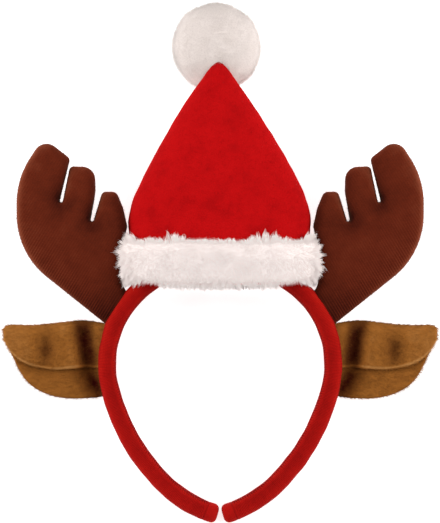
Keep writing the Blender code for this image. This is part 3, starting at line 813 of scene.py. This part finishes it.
def antler_painted_shade(flat, corners):
    """Painted shade on an antler, darker near the hat, near the band and down its two slits."""
    beside_hat = np.exp(-np.maximum(flat[:, 0] - ANTLER_INNER, 0) / 0.0075)
    beside_hat *= np.clip((flat[:, 1] - ANTLER_FOOT) / (0.25 * ANTLER_HEIGHT), 0, 1)
    near_band = np.exp(-((flat[:, 1] - ANTLER_FOOT) / (0.16 * ANTLER_HEIGHT)) ** 2)
    slits = np.zeros(len(flat))
    for first, second in SLIT_BOTTOMS:
        bottom = (np.array(corners[first][:2]) + corners[second][:2]) / 2
        slits = np.maximum(slits, np.exp(-(np.linalg.norm(flat - bottom, axis=1) / 0.0065) ** 1.5))
    return 0.28 * beside_hat + 0.75 * near_band + 0.75 * slits


def build_antler(name, side, knit, fuzz, chance):
    """One stuffed antler of ribbed knit, sewn round its edge."""
    corners = []
    for across, up, rounding in ANTLER_CORNERS:
        corners.append((ANTLER_INNER + across * ANTLER_WIDTH, ANTLER_FOOT + up * ANTLER_HEIGHT,
                        rounding * ANTLER_WIDTH))
    outline = rounded_outline(corners, ANTLER_STEP)
    flat, faces = panel_mesh(outline, KNIT_SPACING, KNIT_DIRECTION)
    edge, _ = outline_distances(flat, outline)
    free = (edge > 1e-6).astype(float)
    bulge = puffed(flat, faces, free)
    full = np.interp((flat[:, 1] - ANTLER_FOOT) / ANTLER_HEIGHT, *np.array(ANTLER_FULLNESS).T)
    height = full * ANTLER_DEPTH / 2 * np.sqrt(1 - np.exp(-bulge / 2.2e-5))
    across = flat @ np.array([math.sin(KNIT_DIRECTION), -math.cos(KNIT_DIRECTION)])
    rib = np.cos(2 * math.pi * across / KNIT_SPACING)
    clear = np.clip(edge / 0.0012, 0, 1)
    start, end = (np.array(corner[:2]) for corner in corners[:2])
    below = unit(end - start)
    from_bottom = (flat - start) @ np.array([-below[1], below[0]])
    stretched = np.exp(-np.maximum(from_bottom, 0) / 0.012)
    rib_shade_strength = 0.08 + 0.64 * stretched
    raised = KNIT_HEIGHT * (0.32 + 0.68 * stretched) * rib
    count = len(flat)
    layers = []
    shades = []
    for facing in (1, -1):
        layer = np.column_stack([side * flat[:, 0], flat[:, 1], facing * height])
        layer[:, 2] += facing * clear * (0.0004 * wander(layer, 0.018, chance) + raised)
        tilt = lean_of_sheet(layer, faces)
        outward = side * tilt[:, 0]
        # Painted light on the knit: shade in the rib grooves and light on the ridges, outer sides and
        # upward slopes lighter and sides towards the hat darker as if lit from outside, a highlight along
        # the seam and shade near the hat, the band and the slits, all painted.
        tone = 0.96 + clear * rib_shade_strength * rib + np.where(outward > 0, 0.40, 0.64) * outward
        tone += 0.16 * tilt[:, 1]
        shades.append(tone + 0.22 * np.exp(-((edge / 0.0022) ** 2)) - antler_painted_shade(flat, corners))
        layers.append(layer)
    points = np.vstack(layers)
    on_seam = np.flatnonzero(free == 0)
    points[on_seam, 2] = 0
    back = np.arange(count) + count
    back[on_seam] = on_seam
    triangles = np.vstack([faces, back[faces][:, ::-1]])
    if side < 0:
        triangles = triangles[:, ::-1]
    used = np.unique(triangles)
    renumber = np.zeros(2 * count, int)
    renumber[used] = np.arange(len(used))
    points, triangles, shade = points[used], renumber[triangles], np.concatenate(shades)[used]
    antler = add_piece("knit_" + name, points, triangles, knit, shade)
    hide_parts(name)
    places, normals, pick = scatter(points, triangles, ANTLER_HAIRS, chance)
    # The nap takes the painted shade and light of the knit beneath it.
    tone = np.repeat(shade[triangles[pick]].mean(1), 4)
    hairs = nap(places, normals, 0, loose=0.8, length=ANTLER_HAIR, width=0.00011, chance=chance)
    add_hairs("nap_" + name, hairs, fuzz, tone)


def sheet_faces(rows, columns):
    """Quads of both sides of a sheet made of two grids of points, and of its rim."""
    i, j = np.meshgrid(np.arange(rows - 1), np.arange(columns - 1), indexing="ij")
    first = (i * columns + j).ravel()
    quads = np.stack([first, first + columns, first + columns + 1, first + 1], 1)
    count = rows * columns
    edge = np.concatenate([
        np.arange(columns),
        np.arange(2, rows + 1) * columns - 1,
        (rows - 1) * columns + np.arange(columns - 2, -1, -1),
        np.arange(rows - 2, 0, -1) * columns,
    ])
    after = np.roll(edge, -1)
    rim = np.stack([after, edge, edge + count, after + count], 1)
    return np.vstack([quads, quads[:, ::-1] + count]), rim


def build_ear(name, side, plush, pile, chance):
    """One folded plush ear, and its pile as short hairs.

    It is pinched near the band, with a dimple further out and a tuck in its back flap.
    """
    along = np.linspace(0, 1, EAR_ROWS) ** 0.92
    fold, front, back = smooth_columns(EAR_SECTIONS, along)
    share = 0.5 - 0.5 * np.cos(np.linspace(0, math.pi, EAR_COLUMNS))
    share = 0.5 * share + 0.5 * np.linspace(0, 1, EAR_COLUMNS)
    along, share = np.repeat(along, EAR_COLUMNS), np.tile(share, EAR_ROWS)
    fold, front, back = (np.repeat(x, EAR_COLUMNS) for x in (fold, front, back))
    radius = EAR_FOLD / 2 * (0.45 + 0.55 * np.sqrt(np.maximum(1 - along**3, 0)))
    radius *= 1 - 0.55 * np.exp(-((along / 0.10) ** 2))
    bend = EAR_FOOT + fold * EAR_HEIGHT - EAR_THICKNESS / 2 - radius
    back_edge = np.minimum(EAR_FOOT + back * EAR_HEIGHT, bend)
    front_edge = np.minimum(EAR_FOOT + front * EAR_HEIGHT, bend)
    angle = math.pi * np.clip((share - 0.4) / 0.2, 0, 1)
    down_back = np.maximum(1 - share / 0.4, 0)
    down_front = np.maximum((share - 0.6) / 0.4, 0)
    y = bend + radius * np.sin(angle) - (bend - back_edge) * down_back - (bend - front_edge) * down_front
    z = -radius * np.cos(angle)
    z += 0.45 * radius * down_back**1.5 - 1.1 * radius * down_front**2
    up = (y - EAR_FOOT) / EAR_HEIGHT
    on_front = np.clip((share - 0.5) / 0.1, 0, 1)
    on_back = np.clip((0.4 - share) / 0.1, 0, 1)
    pinch = np.exp(-(((along - 0.215 - 0.13 * (up - 0.7)) / 0.100) ** 2) - ((up - 0.66) / 0.37) ** 4)
    dimple = np.exp(-(((along - 0.585) / 0.078) ** 2) - ((up - 0.63) / 0.165) ** 2)
    tuck = np.exp(-(((along - 0.115 - 0.35 * (up - 0.2)) / 0.125) ** 2) - ((up - 0.20) / 0.29) ** 2)
    z -= on_front * EAR_FOLD * (0.62 * pinch + 0.22 * dimple) + on_back * 0.0035 * tuck
    middle = np.stack([BAND_SPAN / 2 + along * EAR_LENGTH, y, z], 1)
    middle[:, 2] += 0.0006 * wander(middle, 0.016, chance)
    grid = middle.reshape(EAR_ROWS, EAR_COLUMNS, 3)
    normals = unit(np.cross(np.gradient(grid, axis=1), np.gradient(grid, axis=0))).reshape(-1, 3)
    steps = np.linalg.norm(np.diff(grid, axis=1), axis=2)
    run = np.concatenate([np.zeros((EAR_ROWS, 1)), np.cumsum(steps, axis=1)], axis=1)
    to_edge = np.minimum(run, run[:, -1:] - run).ravel()
    to_tip = (1 - along) * EAR_LENGTH
    close = 1 - np.clip(np.minimum(to_edge, to_tip) / (EAR_THICKNESS / 2), 0, 1)
    half = EAR_THICKNESS / 2 * np.sqrt(np.maximum(1 - close**2, 0)) + 0.00001
    # Painted shade in the pinch, the dimple and the back flap's tuck, a painted highlight along the front
    # flap's hem, the front flap painted lighter towards the tip and the back flap painted a little darker.
    pinch_shade = np.exp(-(((along - 0.203 - 0.13 * (up - 0.7)) / 0.112) ** 4) - ((up - 0.68) / 0.40) ** 4)
    shaded_front = np.clip((share - 0.44) / 0.05, 0, 1)
    shade = 1 - shaded_front * (0.98 * pinch_shade + 0.74 * dimple**0.6) - on_back * 0.90 * tuck
    hem_highlight = np.exp(-(((run[:, -1:] - run).ravel() - 0.0016) / 0.0007) ** 2)
    shade += 0.7 * hem_highlight * (1 - 0.7 * pinch_shade) * on_front + 0.13 * on_front * along
    shade -= 0.10 * on_back
    mirrored = np.array([side, 1, 1])
    outer = (middle - normals * half[:, None]) * mirrored
    inner = (middle + normals * half[:, None]) * mirrored
    points = np.vstack([outer, inner])
    sides, rim = sheet_faces(EAR_ROWS, EAR_COLUMNS)
    if side < 0:
        sides, rim = sides[:, ::-1], rim[:, ::-1]
    faces = np.vstack([sides, rim])
    ear = add_piece("plush_" + name, points, faces, plush, np.tile(shade, 2))
    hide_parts(name)

    places, directions, pick = scatter(points, sides, EAR_HAIRS, chance)
    combed = [1.45 * side, -0.55, 0.0]
    hairs = nap(places, directions, combed, loose=0.4, length=EAR_HAIR, width=0.00019, chance=chance)
    # The pile takes the ear's painted shade and light, with a random tone of its own; its roots get a
    # little painted shade.
    tone = np.tile(shade, 2)[sides[pick]].mean(1) + 0.12 * chance.normal(size=len(pick))
    hairs = (*hairs[:2], 0.85 + 0.15 * hairs[2], hairs[3])
    cloth = add_hairs("pile_" + name, hairs, pile, np.repeat(tone, 4))


def build_stage():
    """A plain pale floor, soft light from all sides and from above, and the camera."""
    bpy.ops.mesh.primitive_plane_add(size=12)
    floor = bpy.context.object
    floor.name = "floor"
    floor.data.materials.append(
        fabric("floor_paper", (0.93, 0.93, 0.93), (0.95, 0.95, 0.95), (0.96, 0.96, 0.96)))
    glow = floor.data.materials[0].node_tree.nodes["Principled BSDF"]
    glow.inputs["Emission Color"].default_value = (1.0, 1.0, 1.0, 1.0)
    glow.inputs["Emission Strength"].default_value = 0.62

    world = bpy.data.worlds.new("studio")
    world.use_nodes = True
    world.node_tree.nodes["Background"].inputs["Color"].default_value = (1.0, 1.0, 1.0, 1.0)
    world.node_tree.nodes["Background"].inputs["Strength"].default_value = 0.50
    bpy.context.scene.world = world
    centre = Vector(on_ground([VIEW_CENTRE])[0])
    for name, place, size, power in (
        ("left", (-1.10, 0.10, 0.55), 0.7, 9.0),
        ("right", (1.10, 0.10, 0.55), 0.7, 9.0),
        ("above", (0.0, 0.5, 1.4), 0.9, 3.0),
    ):
        light = bpy.data.lights.new(name, "AREA")
        light.size = size
        light.energy = power
        lamp = bpy.data.objects.new(name, light)
        lamp.location = centre + Vector(place)
        lamp.rotation_euler = (centre - lamp.location).to_track_quat("-Z", "Y").to_euler()
        bpy.context.scene.collection.objects.link(lamp)

    data = bpy.data.cameras.new("camera")
    data.sensor_width = 36.0
    data.lens = 36.0 * VIEW_DISTANCE / VIEW_HEIGHT
    data.clip_end = 20.0
    camera = bpy.data.objects.new("camera", data)
    turn = Matrix.Rotation(SLOPE, 4, "X")
    camera.matrix_world = Matrix.Translation(centre + turn @ Vector((0, 0, VIEW_DISTANCE))) @ turn
    bpy.context.scene.collection.objects.link(camera)
    bpy.context.scene.camera = camera
    bpy.context.scene.view_settings.view_transform = "Standard"


def main():
    chance = np.random.default_rng(11)
    build_stage()
    red_sheen = (1.0, 0.25, 0.2)
    cover = fabric("ribbed_cover", (0.11, 0.001, 0.001), (0.42, 0.0058, 0.0040), (0.68, 0.034, 0.012),
                   roughness=0.9, sheen=0.05, sheen_colour=red_sheen, grain=0.0002, grain_size=0.0010,
                   mottle=0.14)
    thread = fabric("seam_thread", (0.05, 0.001, 0.001), (0.22, 0.002, 0.002), (0.30, 0.004, 0.004))
    felt = fabric("hat_felt", (0.20, 0.001, 0.002), (0.485, 0.0030, 0.0042), (0.60, 0.005, 0.006),
                  roughness=1.0, sheen=0.04, sheen_colour=red_sheen, grain=0.0004, grain_size=0.0009,
                  mottle=0.30)
    felt_nap = fabric("hat_nap", (0.36, 0.001, 0.002), (0.52, 0.003, 0.005), (0.60, 0.006, 0.008))
    # Fur and pompom glow a little in their own colours: painted light for light passing through the hair.
    fur_base = fabric("fur_backing", (0.62, 0.54, 0.51), (0.93, 0.84, 0.81), (0.95, 0.88, 0.86),
                      through=0.20)
    fur_hair = fabric("fur_strands", (0.84, 0.75, 0.72), (0.955, 0.875, 0.85), (0.97, 0.91, 0.89),
                      mottle=0.1, through=0.20)
    plush_base = fabric("pompom_core", (0.60, 0.51, 0.48), (0.87, 0.79, 0.745), (0.90, 0.83, 0.80),
                        through=0.15)
    plush_hair = fabric("pompom_strands", (0.76, 0.68, 0.64), (0.89, 0.81, 0.77), (0.91, 0.85, 0.81),
                        mottle=0.1, through=0.15)
    knit = fabric("brown_knit", (0.022, 0.0022, 0.0014), (0.124, 0.0168, 0.0060), (0.240, 0.060, 0.028),
                  roughness=1.0, sheen=0.12, sheen_colour=(0.9, 0.40, 0.22), grain=0.0004,
                  grain_size=0.0009, mottle=0.16, mottle_size=0.008)
    knit_nap = fabric("brown_nap", (0.06, 0.008, 0.004), (0.20, 0.042, 0.018), (0.30, 0.085, 0.045))
    plush = fabric("tan_plush", (0.030, 0.0010, 0.0006), (0.34, 0.122, 0.0215), (0.56, 0.27, 0.085),
                   roughness=1.0, sheen=0.10, sheen_colour=(1.0, 0.62, 0.30), grain=0.0003,
                   grain_size=0.0010, mottle=0.10, mottle_size=0.007)
    pile = fabric("tan_pile", (0.036, 0.0010, 0.0006), (0.36, 0.134, 0.0240), (0.58, 0.28, 0.090),
                  mottle=0.16, mottle_size=0.005)

    build_band(cover, thread, chance)
    build_hat(felt, felt_nap, chance)
    build_trim(fur_base, fur_hair, chance)
    build_pompom(plush_base, plush_hair, chance)
    for name, side in (("left", -1), ("right", 1)):
        build_antler("antler_" + name, side, knit, knit_nap, chance)
        build_ear("ear_" + name, side, plush, pile, chance)


main()
